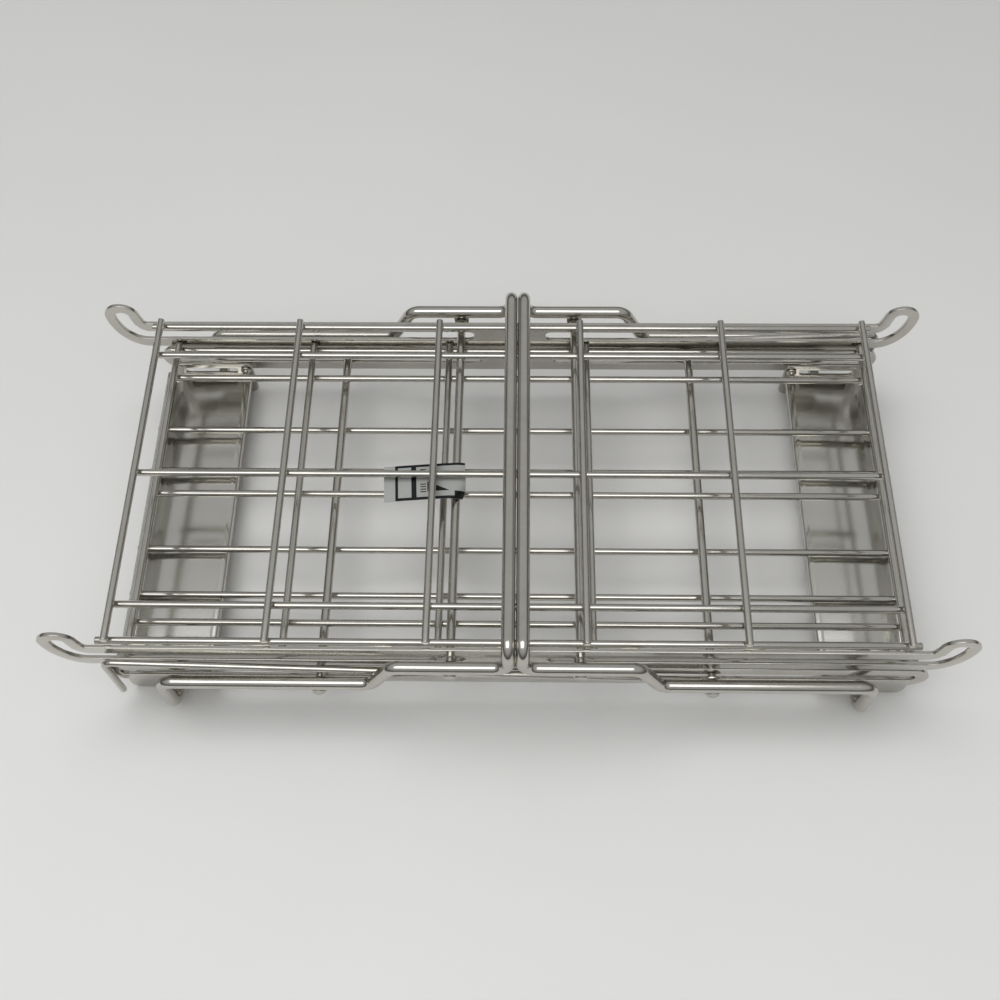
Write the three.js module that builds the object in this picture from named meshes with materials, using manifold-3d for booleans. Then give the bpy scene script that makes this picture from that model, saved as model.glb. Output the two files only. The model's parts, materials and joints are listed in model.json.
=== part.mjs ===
import * as THREE from 'three';
import { mergeVertices } from 'three/addons/utils/BufferGeometryUtils.js';
import Module from 'manifold-3d';

// Folding three-tier wire rack, stored folded flat. Millimetres, +Z up, +X along the long side, front is -Y.
// The origin is at the floor, under the middle of the folded pack.

// ---- driving dimensions -------------------------------------------------------------------------
const PLAY = 4.5;            // the top tier lies this far left of the rest, inside its slots' play
const GAP = 0.3;             // air left where two pieces are welded or lie against each other

const WIRE_R = 1.9;          // shelf wires
const AXLE_R = 2.3;          // cross axles that carry the tiers
const STAY_R = 1.8;          // diagonal stays
const ROD_R = 3.35;          // thick side frames

const TOP_Z = 63.6;          // long wires of the top tier
const MID_Z = 41.2;          // long wires of the middle tier
const LOW_Z = 22.8;          // long wires of the bottom tier
const RAIL_Y = 94.1;         // outermost long wires of the two upper tiers
const WIRE_Y = 75;           // next long wires inward
const LOW_Y = [-51.6, -24.5, 24.5, 51.6];
const CROSS_X = [-195, -117, -39, 39, 117, 195];
const RAIL_HALF = 200.5;     // half length of a rail
const LONG_HALF = 197;       // half length of the inner long wires
const CROSS_HALF = 96;       // half length of a cross wire
const LOW_HALF = 206;        // half length of a bottom wire, ends standing proud of the flanges

const PLATE_IN = 96.3;       // inner face of a slotted side plate
const PLATE_T = 2;
const PLATE_HALF = 10.4;     // half height of a slotted side plate
const SLOT_R = 3.6;          // half width of a slot
const SLOT_INNER = 20;       // slots start this far from the middle
const SLOT_DROP = 1.2;       // the axle runs this far above the slot's centre line
const TOP_SLOT_Z = 53;
const MID_SLOT_Z = 30.6;
const MID_PLATE_END = 208;
const MID_SLOT_END = 201.4;

const LOOP_X = 216.5;        // centre of the lifted end of a top slot
const LOOP_Z = 69.7;
const LOOP_OUT = 9.5;
const LOOP_IN = 3.8;

const PIVOT_X = 178;         // foot bars, from the middle of the rack
const PIVOT_Z = 6;
const ARM_Y = 106.5;         // side arms of the thick frames
const HANDLE_X = 3.5;        // the two crossbars lie side by side over the middle
const HANDLE_Z = 79.5;
const UPPER_Z = 62;
const LOWER_Z = 39.4;
const STEP_IN = 60;
const STEP_OUT = 72;
const TOP_AXLE_X = 32;
const MID_AXLE_X = 99;
const LUG_T = 2;
const LUG_R = 4;
const BORE_PLAY = 0.1;
const COLLAR_R = 3;          // collars and end caps of the axles

const TRAY_IN = 158;         // end brackets: folded sheet
const TRAY_OUT = 203.4;
const SHEET_T = 1.2;
const SHEET_Z = 16.4;
const LIP_H = 3;
const FLANGE_TOP = 31;
const FLANGE_HALF = 88;
const FLANGE_HOLE_R = 2.25;
const EAR_IN = 93.4;
const EAR_T = 1.6;
const EAR_TOP = 28;
const EAR_SLOT_Z = 21.8;
const EAR_SLOT_R = 2.4;

const STAY_Y = 100.6;
const STAY_TOP_Z = 50;       // height of a stay where it bends down
const STAY_FAR = 204.5;      // how far a stay reaches past the middle
const HOOK_LOW = 11;

const LABEL_X = -44;         // middle of the label
const LABEL_Y = -3;
const LABEL_W = 42;
const LABEL_D = 21;
const LABEL_T = 0.4;
const LABEL_TURN = 3.5;      // degrees
const LABEL_DROOP = 2.2;     // how far its right end hangs
const LABEL_SAG = 1.2;       // and its left end

// ---- helpers ------------------------------------------------------------------------------------
const wasm = await Module();
wasm.setup();

const group = new THREE.Group();
const v3 = (x, y, z) => new THREE.Vector3(x, y, z);

function steel(color, roughness) {
  return new THREE.MeshStandardMaterial({ color, roughness, metalness: 1 });
}

function put(name, geometry, color = 0xb9b6b0, roughness = 0.25) {
  const mesh = new THREE.Mesh(geometry, steel(color, roughness));
  mesh.name = name;
  group.add(mesh);
  return mesh;
}

// A path that passes through its corner points exactly, one extrusion step per point.
class RodPath extends THREE.Curve {
  constructor(points) {
    super();
    this.points = points;
  }

  getPoint(t, target = new THREE.Vector3()) {
    const s = t * (this.points.length - 1);
    const i = Math.min(Math.floor(s + 1e-9), this.points.length - 2);
    return target.lerpVectors(this.points[i], this.points[i + 1], s - i);
  }

  getPointAt(t, target) {
    return this.getPoint(t, target);
  }

  getTangentAt(t, target = new THREE.Vector3()) {
    const last = this.points.length - 1;
    const i = Math.round(t * last);
    const before = this.points[Math.max(i - 1, 0)];
    const here = this.points[i];
    const after = this.points[Math.min(i + 1, last)];
    const a = here.clone().sub(before).normalize();
    const b = after.clone().sub(here).normalize();
    return target.copy(a.add(b)).normalize();
  }
}

// Rounds each inner corner of a polyline with a bend of the given radius.
function rounded(corners, radius, steps = 5) {
  const out = [corners[0]];
  for (let i = 1; i < corners.length - 1; i++) {
    const here = corners[i];
    const a = corners[i - 1].clone().sub(here).normalize();
    const b = corners[i + 1].clone().sub(here).normalize();
    const half = a.angleTo(b) / 2;
    const reach = radius / Math.tan(half);
    const middle = a.clone().add(b).normalize();
    const centre = here.clone().addScaledVector(middle, radius / Math.sin(half));
    const from = here.clone().addScaledVector(a, reach).sub(centre);
    const to = here.clone().addScaledVector(b, reach).sub(centre);
    const turn = from.angleTo(to);
    for (let k = 0; k <= steps; k++) {
      const s = k / steps;
      const p = from.clone().multiplyScalar(Math.sin((1 - s) * turn) / Math.sin(turn));
      p.addScaledVector(to, Math.sin(s * turn) / Math.sin(turn));
      out.push(p.add(centre));
    }
  }
  out.push(corners[corners.length - 1]);
  return out;
}

function circle(radius, sides) {
  const shape = new THREE.Shape();
  for (let k = 0; k < sides; k++) {
    const a = (2 * Math.PI * k) / sides;
    const x = radius * Math.cos(a);
    const y = radius * Math.sin(a);
    if (k === 0) shape.moveTo(x, y);
    else shape.lineTo(x, y);
  }
  shape.closePath();
  return shape;
}

function rod(points, radius, sides) {
  const path = new RodPath(points);
  const options = { steps: points.length - 1, extrudePath: path, bevelEnabled: false };
  return new THREE.ExtrudeGeometry(circle(radius, sides), options);
}

function solid(geometry) {
  const bare = geometry.clone();
  bare.deleteAttribute('normal');
  bare.deleteAttribute('uv');
  const merged = mergeVertices(bare, 1e-4);
  const mesh = new wasm.Mesh({
    numProp: 3,
    vertProperties: new Float32Array(merged.attributes.position.array),
    triVerts: new Uint32Array(merged.index.array),
  });
  return new wasm.Manifold(mesh);
}

function toGeometry(manifold) {
  const mesh = manifold.getMesh();
  const geometry = new THREE.BufferGeometry();
  geometry.setAttribute('position', new THREE.Float32BufferAttribute(mesh.vertProperties, 3));
  geometry.setIndex(new THREE.Uint32BufferAttribute(mesh.triVerts, 1));
  const flat = geometry.toNonIndexed();
  flat.computeVertexNormals();
  return flat;
}

function box(x0, x1, y0, y1, z0, z1) {
  const geometry = new THREE.BoxGeometry(Math.abs(x1 - x0), Math.abs(y1 - y0), z1 - z0);
  geometry.translate((x0 + x1) / 2, (y0 + y1) / 2, (z0 + z1) / 2);
  return geometry;
}

// Extrudes an outline drawn in X and Z across the sheet, from depth y0 to y1.
function sheetXZ(shape, y0, y1, curveSegments = 10) {
  const depth = Math.abs(y1 - y0);
  const geometry = new THREE.ExtrudeGeometry(shape, { depth, bevelEnabled: false, curveSegments });
  geometry.rotateX(Math.PI / 2);
  geometry.translate(0, Math.max(y0, y1), 0);
  return geometry;
}

function stadium(x0, x1, z, radius) {
  const path = new THREE.Path();
  path.absarc(x0, z, radius, Math.PI / 2, 1.5 * Math.PI, false);
  path.absarc(x1, z, radius, 1.5 * Math.PI, 2.5 * Math.PI, false);
  path.closePath();
  return path;
}

// ---- the two upper tiers ------------------------------------------------------------------------
function wireX(name, half, centre, y, z) {
  put(name, rod([v3(centre - half, y, z), v3(centre + half, y, z)], WIRE_R, 8));
}

function wireY(name, half, x, z) {
  put(name, rod([v3(x, -half, z), v3(x, half, z)], WIRE_R, 8));
}

function grid(tier, centre, z) {
  wireX(`${tier}_rail_front`, RAIL_HALF, centre, -RAIL_Y, z);
  wireX(`${tier}_rail_back`, RAIL_HALF, centre, RAIL_Y, z);
  wireX(`${tier}_long_wire_front`, LONG_HALF, centre, -WIRE_Y, z);
  wireX(`${tier}_long_wire_middle`, LONG_HALF, centre, 0, z);
  wireX(`${tier}_long_wire_back`, LONG_HALF, centre, WIRE_Y, z);
  CROSS_X.forEach((x, i) => {
    wireY(`${tier}_cross_wire_${i + 1}`, CROSS_HALF, centre + x, z + 2 * WIRE_R + GAP);
  });
}

// Top side plate: one end's outline, mirrored by the sign, drawn toward the lifted loop.
function topPlate() {
  const low = TOP_SLOT_Z - PLATE_HALF;
  const high = TOP_SLOT_Z + PLATE_HALF;
  const bend = 207;
  const shape = new THREE.Shape();
  shape.moveTo(-bend, low);
  shape.lineTo(bend, low);
  shape.absellipse(bend, LOOP_Z, LOOP_X + LOOP_OUT - bend, LOOP_Z - low, -Math.PI / 2, 0, false);
  shape.absarc(LOOP_X, LOOP_Z, LOOP_OUT, 0, Math.PI, false);
  shape.lineTo(LOOP_X - LOOP_OUT - 1.5, high);
  shape.lineTo(-LOOP_X + LOOP_OUT + 1.5, high);
  shape.lineTo(-LOOP_X + LOOP_OUT, LOOP_Z);
  shape.absarc(-LOOP_X, LOOP_Z, LOOP_OUT, 0, Math.PI, false);
  shape.absellipse(-bend, LOOP_Z, LOOP_X + LOOP_OUT - bend, LOOP_Z - low, Math.PI, 1.5 * Math.PI, false);
  for (const side of [-1, 1]) {
    shape.holes.push(topSlot(side));
  }
  return shape;
}

function topSlot(side) {
  const low = TOP_SLOT_Z - SLOT_R;
  const high = TOP_SLOT_Z + SLOT_R;
  const bend = 207;
  const hole = new THREE.Path();
  const first = SLOT_INNER + SLOT_R;
  const arc = (cx, cz, rx, rz, from, to, steps) => {
    for (let k = 0; k <= steps; k++) {
      const a = from + ((to - from) * k) / steps;
      hole.lineTo(side * (cx + rx * Math.cos(a)), cz + rz * Math.sin(a));
    }
  };
  hole.moveTo(side * first, high);
  arc(first, TOP_SLOT_Z, SLOT_R, SLOT_R, Math.PI / 2 + 0.3, 1.5 * Math.PI, 7);
  arc(bend, LOOP_Z, LOOP_X + LOOP_IN - bend, LOOP_Z - low, -Math.PI / 2, -0.12, 10);
  arc(LOOP_X, LOOP_Z, LOOP_IN, LOOP_IN, 0, Math.PI, 8);
  hole.lineTo(side * (LOOP_X - LOOP_IN - 1.2), LOOP_Z - 7);
  hole.lineTo(side * (LOOP_X - LOOP_IN - 3.8), LOOP_Z - 11);
  hole.lineTo(side * 205.4, high);
  hole.closePath();
  return hole;
}

function midPlate() {
  const end = MID_PLATE_END - PLATE_HALF;
  const shape = new THREE.Shape(stadium(PLAY - end, PLAY + end, MID_SLOT_Z, PLATE_HALF).getPoints(8));
  for (const side of [-1, 1]) {
    const a = PLAY + side * (SLOT_INNER + SLOT_R);
    const b = PLAY + side * (MID_SLOT_END - SLOT_R);
    shape.holes.push(stadium(Math.min(a, b), Math.max(a, b), MID_SLOT_Z, SLOT_R));
  }
  return shape;
}

grid('top', 0, TOP_Z);
grid('mid', PLAY, MID_Z);
for (const [word, side] of [['front', -1], ['back', 1]]) {
  const y0 = side * PLATE_IN;
  const y1 = side * (PLATE_IN + PLATE_T);
  put(`top_side_plate_${word}`, sheetXZ(topPlate(), y0, y1), 0xaaa69e, 0.3);
  put(`mid_side_plate_${word}`, sheetXZ(midPlate(), y0, y1, 8), 0xaaa69e, 0.3);
}

// ---- bottom tier: four wires held by two folded end brackets ------------------------------------
LOW_Y.forEach((y, i) => wireX(`low_wire_${i + 1}`, LOW_HALF, PLAY, y, LOW_Z));

function ear(side) {
  const shape = new THREE.Shape();
  const round = 5;
  const x0 = TRAY_IN - 1.5;
  const x1 = TRAY_OUT;
  shape.moveTo(x0, EAR_TOP);
  shape.lineTo(x0, round);
  shape.absarc(x0 + round, round, round, Math.PI, 1.5 * Math.PI, false);
  shape.absarc(x1 - round, round, round, 1.5 * Math.PI, 2 * Math.PI, false);
  shape.lineTo(x1, EAR_TOP);
  shape.closePath();
  shape.holes.push(stadium(168, 194, EAR_SLOT_Z, EAR_SLOT_R));
  const bore = new THREE.Path();
  bore.absarc(PIVOT_X, PIVOT_Z, ROD_R + BORE_PLAY, 0, 2 * Math.PI, false);
  shape.holes.push(bore);
  return sheetXZ(shape, side * EAR_IN, side * (EAR_IN + EAR_T), 8);
}

function flange() {
  const shape = new THREE.Shape();
  shape.moveTo(-FLANGE_HALF, SHEET_Z);
  shape.lineTo(FLANGE_HALF, SHEET_Z);
  shape.lineTo(FLANGE_HALF, FLANGE_TOP - 4);
  shape.lineTo(FLANGE_HALF - 4, FLANGE_TOP);
  shape.lineTo(-FLANGE_HALF + 4, FLANGE_TOP);
  shape.lineTo(-FLANGE_HALF, FLANGE_TOP - 4);
  shape.closePath();
  for (const y of LOW_Y) {
    const hole = new THREE.Path();
    hole.absarc(y, LOW_Z, FLANGE_HOLE_R, 0, 2 * Math.PI, false);
    shape.holes.push(hole);
  }
  const geometry = new THREE.ExtrudeGeometry(shape, { depth: SHEET_T, bevelEnabled: false, curveSegments: 6 });
  geometry.rotateX(Math.PI / 2);
  geometry.rotateZ(Math.PI / 2);
  geometry.translate(TRAY_OUT - SHEET_T, 0, 0);
  return geometry;
}

function bracket(side) {
  const sheet = box(TRAY_IN, TRAY_OUT, -EAR_IN - 0.4, EAR_IN + 0.4, SHEET_Z, SHEET_Z + SHEET_T);
  const lip = box(TRAY_IN, TRAY_IN + SHEET_T, -EAR_IN + 4, EAR_IN - 4, SHEET_Z - LIP_H, SHEET_Z + 0.2);
  const parts = [sheet, lip, flange(), ear(-1), ear(1)];
  const joined = parts.map(solid).reduce((a, b) => a.add(b));
  const placed = side > 0 ? joined : joined.rotate([0, 0, 180]);
  return toGeometry(placed.translate([PLAY, 0, 0]));
}

function rivet(x, y, inward) {
  const profile = [[0, 0], [3, 0], [3, 1.2], [1.7, 2.2], [1.7, 4], [0, 4]];
  const points = profile.map(([r, h]) => new THREE.Vector2(r, h));
  const geometry = new THREE.LatheGeometry(points, 12);
  if (inward < 0) geometry.rotateX(Math.PI);
  geometry.translate(x, y, EAR_TOP - 5);
  return geometry;
}

for (const [word, side] of [['left', -1], ['right', 1]]) {
  put(`end_bracket_${word}`, bracket(side), 0xa3a099, 0.4);
  const x = PLAY + side * (TRAY_IN + 2.4);
  const y = EAR_IN - GAP;
  put(`rivet_${word}_front`, rivet(x, -y, 1), 0x9a9790, 0.35);
  put(`rivet_${word}_back`, rivet(x, y, -1), 0x9a9790, 0.35);
}

// ---- thick side frames: foot bar, two stepped arms and a crossbar each -------------------------
function frameRod(side) {
  const arm = (y) => [
    v3(PLAY + side * PIVOT_X, y, PIVOT_Z),
    v3(PLAY + side * PIVOT_X, y, LOWER_Z),
    v3(PLAY + side * STEP_OUT, y, LOWER_Z),
    v3(PLAY + side * STEP_IN, y, UPPER_Z),
    v3(PLAY + side * HANDLE_X, y, UPPER_Z),
    v3(PLAY + side * HANDLE_X, y, HANDLE_Z),
  ];
  const seam = 0.15;
  const start = v3(PLAY + side * PIVOT_X, -seam, PIVOT_Z);
  const end = v3(PLAY + side * PIVOT_X, seam, PIVOT_Z);
  const corners = [start, ...arm(-ARM_Y), ...arm(ARM_Y).reverse(), end];
  return rod(rounded(corners, 7.5), ROD_R, 12);
}

function lug(x, z, armZ, y) {
  const shape = new THREE.Shape();
  shape.absarc(x, z, LUG_R, Math.PI, 2 * Math.PI, false);
  shape.lineTo(x + LUG_R, armZ);
  shape.lineTo(x - LUG_R, armZ);
  shape.closePath();
  return sheetXZ(shape, y - LUG_T / 2, y + LUG_T / 2, 8);
}

function bore(x, z, y) {
  const geometry = new THREE.CylinderGeometry(AXLE_R + BORE_PLAY, AXLE_R + BORE_PLAY, 12, 24);
  geometry.translate(x, y, z);
  return geometry;
}

function frame(side) {
  const places = [
    [PLAY + side * TOP_AXLE_X, TOP_SLOT_Z + SLOT_DROP, UPPER_Z],
    [PLAY + side * MID_AXLE_X, MID_SLOT_Z + SLOT_DROP, LOWER_Z],
  ];
  let body = solid(frameRod(side));
  for (const [x, z, armZ] of places) {
    for (const y of [-ARM_Y, ARM_Y]) {
      body = body.add(solid(lug(x, z, armZ, y)));
      body = body.subtract(solid(bore(x, z, y)));
    }
  }
  return toGeometry(body);
}

put('side_frame_left', frame(-1), 0xb3b0a9, 0.22);
put('side_frame_right', frame(1), 0xb3b0a9, 0.22);

// ---- axles: a rod with a collar inside each lug and a cap outside it ----------------------------
function axle(x, z) {
  const half = [
    [AXLE_R, 102.9], [COLLAR_R, 102.9], [COLLAR_R, 105.2], [AXLE_R, 105.2],
    [AXLE_R, 107.8], [COLLAR_R, 107.8], [COLLAR_R, 108.7], [2.2, 109.3], [0, 109.3],
  ];
  const back = half.map(([r, h]) => new THREE.Vector2(r, h));
  const front = half.map(([r, h]) => new THREE.Vector2(r, -h)).reverse();
  const geometry = new THREE.LatheGeometry([...front, ...back], 16);
  geometry.translate(x, 0, z);
  return geometry;
}

for (const [word, side] of [['left', -1], ['right', 1]]) {
  put(`top_axle_${word}`, axle(PLAY + side * TOP_AXLE_X, TOP_SLOT_Z + SLOT_DROP), 0xaca9a2, 0.28);
  put(`mid_axle_${word}`, axle(PLAY + side * MID_AXLE_X, MID_SLOT_Z + SLOT_DROP), 0xaca9a2, 0.28);
}

// ---- diagonal stays: an eye on a middle axle, a long run and a hooked far end -------------------
function stay() {
  const pivot = v3(MID_AXLE_X, 0, MID_SLOT_Z + SLOT_DROP);
  const corners = [
    v3(MID_AXLE_X - 3.4, -STAY_Y, MID_SLOT_Z + SLOT_DROP + 0.2),
    v3(-STAY_FAR, -STAY_Y, STAY_TOP_Z),
    v3(-STAY_FAR - 0.5, -STAY_Y, HOOK_LOW),
  ];
  const eye = new THREE.Shape();
  eye.absarc(pivot.x, pivot.z, 5, 0, 2 * Math.PI, false);
  const ring = sheetXZ(eye, -STAY_Y - 1.6, -STAY_Y + 1.6, 10);
  const cut = new THREE.CylinderGeometry(AXLE_R + BORE_PLAY, AXLE_R + BORE_PLAY, 8, 24);
  cut.translate(pivot.x, -STAY_Y, pivot.z);
  return solid(rod(rounded(corners, 5), STAY_R, 10)).add(solid(ring)).subtract(solid(cut));
}

put('stay_front', toGeometry(stay().translate([PLAY, 0, 0])), 0xb0ada6, 0.25);
put('stay_back', toGeometry(stay().rotate([0, 0, 180]).translate([PLAY, 0, 0])), 0xb0ada6, 0.25);

// ---- paper label stuck under the middle wire of the top tier -----------------------------------
function label() {
  const steps = 12;
  const high = TOP_Z - WIRE_R - GAP;
  const top = [];
  const bottom = [];
  for (let k = 0; k <= steps; k++) {
    const s = k / steps;
    const right = Math.max(s - 0.8, 0) / 0.2;
    const z = high - LABEL_SAG * Math.pow(1 - s, 2) - LABEL_DROOP * right * right;
    top.push(new THREE.Vector2((s - 0.5) * LABEL_W, z));
    bottom.push(new THREE.Vector2((s - 0.5) * LABEL_W, z - LABEL_T));
  }
  const strip = sheetXZ(new THREE.Shape([...bottom, ...top.reverse()]), -LABEL_D / 2, LABEL_D / 2);
  strip.rotateZ((LABEL_TURN * Math.PI) / 180);
  strip.translate(LABEL_X, LABEL_Y, 0);
  return strip;
}

const paper = put('label', label(), 0xe8e8e6, 0.7);
paper.material.metalness = 0;

export default group;
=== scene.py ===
"""Looks of a folding three-tier wire rack, folded flat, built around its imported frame.

Sizes are in millimetres until place() turns them into metres, and the stage is in metres throughout.
+X runs along the rack, -Y is its front and +Z is up.
"""

import json
import math

import bmesh
import bpy
from mathutils import Matrix, Vector, noise
from mathutils.geometry import tessellate_polygon


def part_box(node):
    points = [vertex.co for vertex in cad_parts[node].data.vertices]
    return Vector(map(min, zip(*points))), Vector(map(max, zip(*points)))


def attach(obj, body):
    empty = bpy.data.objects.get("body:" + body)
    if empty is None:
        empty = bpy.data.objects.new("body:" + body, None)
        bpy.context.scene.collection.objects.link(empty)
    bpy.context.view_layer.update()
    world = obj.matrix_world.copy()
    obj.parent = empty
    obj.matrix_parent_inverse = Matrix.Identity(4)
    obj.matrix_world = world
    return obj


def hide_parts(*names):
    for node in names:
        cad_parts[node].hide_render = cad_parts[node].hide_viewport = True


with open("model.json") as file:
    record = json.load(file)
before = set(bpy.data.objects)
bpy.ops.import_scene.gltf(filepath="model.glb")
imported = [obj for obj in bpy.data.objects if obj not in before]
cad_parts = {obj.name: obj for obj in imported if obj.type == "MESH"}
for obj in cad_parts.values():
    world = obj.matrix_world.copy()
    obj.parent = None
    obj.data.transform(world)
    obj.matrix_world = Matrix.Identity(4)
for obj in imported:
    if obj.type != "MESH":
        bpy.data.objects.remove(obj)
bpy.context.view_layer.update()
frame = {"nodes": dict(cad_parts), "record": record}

# ---- sizes that the frame's boxes don't give --------------------------------------------------------
MM = 0.001
PLAY = 4.5                # everything but the top tier lies this far right
ROD_R = 3.35              # thick side frames
AXLE_R = 2.3
COLLAR_R = 3.0
COLLAR_AT = 102.9         # the axles' split collars start this far from the rack's middle
HEAD_T, HEAD_DOME = 1.5, 0.8
STAY_R = 1.8
EYE_WIRE_R = 1.3          # the ring eye on a stay
EYE_RING_R = 3.75
EYE_REACH = 4.3           # a stay's bar starts this far from its eye's middle
BORE_PLAY = 0.1

SLOT_R = 3.6              # half width of a slot in a side plate
SLOT_INNER = 20.0         # slots start this far from the middle
PLATE_HALF = 10.4
TOP_SLOT_Z = 53.0
MID_SLOT_Z = 30.6
SLOT_DROP = 1.2           # axles run this far above a slot's centre line
MID_PLATE_END, MID_SLOT_END = 208.0, 201.4
LOOP_X, LOOP_Z = 216.5, 69.7
LOOP_OUT, LOOP_IN = 9.5, 3.8
LOOP_BEND = 207.0         # where the slot's ends start to rise

PIVOT_X, PIVOT_Z = 178.0, 6.0
ARM_Y = 106.5
HANDLE_X, HANDLE_Z = 3.5, 79.5
UPPER_Z, LOWER_Z = 62.0, 39.4
STEP_IN, STEP_OUT = 60.0, 72.0
FRAME_BEND = 7.5
LUG_T, LUG_R = 2.0, 4.0
TOP_AXLE_X, MID_AXLE_X = 32.0, 99.0

TRAY_IN, TRAY_OUT = 158.0, 203.4
SHEET_T, SHEET_Z = 1.2, 16.4
LIP_H = 3.0
FLANGE_TOP, FLANGE_HALF = 31.0, 88.0
FLANGE_HOLE_R = 2.25
EAR_IN, EAR_T, EAR_TOP = 93.4, 1.6, 28.0
EAR_SLOT_Z, EAR_SLOT_R = 21.8, 2.4

STAY_Y, STAY_TOP_Z = 100.6, 50.0
STAY_FAR, HOOK_LOW = 204.5, 11.0
HOOK_BEND = 5.0
RIVET_SHANK_R = 1.7
EDGE, PLATE_EDGE, WIRE_EDGE = 0.3, 0.35, 0.35      # rounding of sheared edges and cut ends

LABEL_X, LABEL_Y = -43.6, -3.0
LABEL_W, LABEL_D, LABEL_T = 42.8, 21.0, 0.25
LABEL_TURN = math.radians(3.5)
LABEL_SAG, LABEL_DROOP, LABEL_CROWN = 1.2, 0.9, 0.35
CURL_REACH, CURL_R = 8.0, 5.0

# ---- stage, in metres ------------------------------------------------------------------------------
FLOOR_HALF, WALL_R, WALL_H = 3.0, 2.9, 6.0
# floor colours at the front and at the back; the darker back one is painted shade for the light falling off
FLOOR_LIT_NEAR, FLOOR_SHADED_FAR = (0.88, 0.875, 0.86), (0.625, 0.62, 0.605)
WALL_COLOUR = (0.50, 0.50, 0.49, 1.0)
SKY_COLOUR = (0.99, 1.0, 1.0, 1.0)
SKY_LOW, SKY_HIGH = 0.05, 0.50          # strength near the horizon and overhead
EYE_AT = (0.0063, -0.3098, 0.6082)
PITCH, YAW, ROLL = math.radians(61.57), math.radians(-2.008), math.radians(1.443)
LENS_MM = 43.2

BODY_OF = {node: body for body, nodes in frame["record"]["behaviour"]["bodies"].items() for node in nodes}


def centre(node):
    """Middle of a CAD node's box, in millimetres."""
    low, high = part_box(node)
    return (low + high) / (2 * MM)


# ---- outlines ---------------------------------------------------------------------------------------
def arc(x, z, rx, rz, start, end, steps):
    """Points of an elliptic arc, with angles in degrees."""
    angles = [math.radians(start + (end - start) * k / steps) for k in range(steps + 1)]
    return [Vector((x + rx * math.cos(a), z + rz * math.sin(a))) for a in angles]


def stadium(x0, x1, z, radius, steps=20):
    return arc(x0, z, radius, radius, 90, 270, steps) + arc(x1, z, radius, radius, -90, 90, steps)


def area(loop):
    return sum(a.x * b.y - b.x * a.y for a, b in zip(loop, loop[1:] + loop[:1])) / 2


def turned(loop, outer):
    """The loop, running so that the material lies on its left."""
    return loop if (area(loop) > 0) == outer else loop[::-1]


def softened(loop, radius, sharpest=18.0, steps=5):
    """Rounds the loop's corners that turn more than sharpest degrees."""
    out = []
    for k, here in enumerate(loop):
        before, after = loop[k - 1] - here, loop[(k + 1) % len(loop)] - here
        turn = math.pi - before.angle(after, math.pi)
        if turn < math.radians(sharpest):
            out.append(here)
            continue
        cut = min(radius * math.tan(turn / 2), before.length * 0.48, after.length * 0.48)
        start, end = here + before.normalized() * cut, here + after.normalized() * cut
        for s in (j / steps for j in range(steps + 1)):
            out.append(start * (1 - s) ** 2 + here * 2 * s * (1 - s) + end * s * s)
    return out


def top_plate():
    low, high = TOP_SLOT_Z - PLATE_HALF, TOP_SLOT_Z + PLATE_HALF
    half = [Vector((LOOP_BEND, low))]
    half += arc(LOOP_BEND, LOOP_Z, LOOP_X + LOOP_OUT - LOOP_BEND, LOOP_Z - low, -87, 0, 26)
    half += arc(LOOP_X, LOOP_Z, LOOP_OUT, LOOP_OUT, 6, 180, 34)
    half += [Vector((LOOP_X - LOOP_OUT - 1.5, high))]
    outline = half + [Vector((-p.x, p.y)) for p in reversed(half)]
    return softened(outline, 1.6, sharpest=25), [top_slot(1), top_slot(-1)]


def top_slot(side):
    low, high = TOP_SLOT_Z - SLOT_R, TOP_SLOT_Z + SLOT_R
    first = SLOT_INNER + SLOT_R
    hole = arc(first, TOP_SLOT_Z, SLOT_R, SLOT_R, 90, 270, 20)
    hole += arc(LOOP_BEND, LOOP_Z, LOOP_X + LOOP_IN - LOOP_BEND, LOOP_Z - low, -90, -7, 26)
    hole += arc(LOOP_X, LOOP_Z, LOOP_IN, LOOP_IN, 0, 180, 22)
    hole += [Vector((LOOP_X - LOOP_IN - 1.2, LOOP_Z - 7)), Vector((LOOP_X - LOOP_IN - 3.8, LOOP_Z - 11))]
    hole += [Vector((205.4, high))]
    return softened([Vector((side * p.x, p.y)) for p in hole], 3.0, sharpest=12)


def mid_plate():
    end = MID_PLATE_END - PLATE_HALF
    outline = stadium(PLAY - end, PLAY + end, MID_SLOT_Z, PLATE_HALF, 28)
    first, last = SLOT_INNER + SLOT_R, MID_SLOT_END - SLOT_R
    right = stadium(PLAY + first, PLAY + last, MID_SLOT_Z, SLOT_R)
    left = stadium(PLAY - last, PLAY - first, MID_SLOT_Z, SLOT_R)
    return outline, [right, left]


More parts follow.
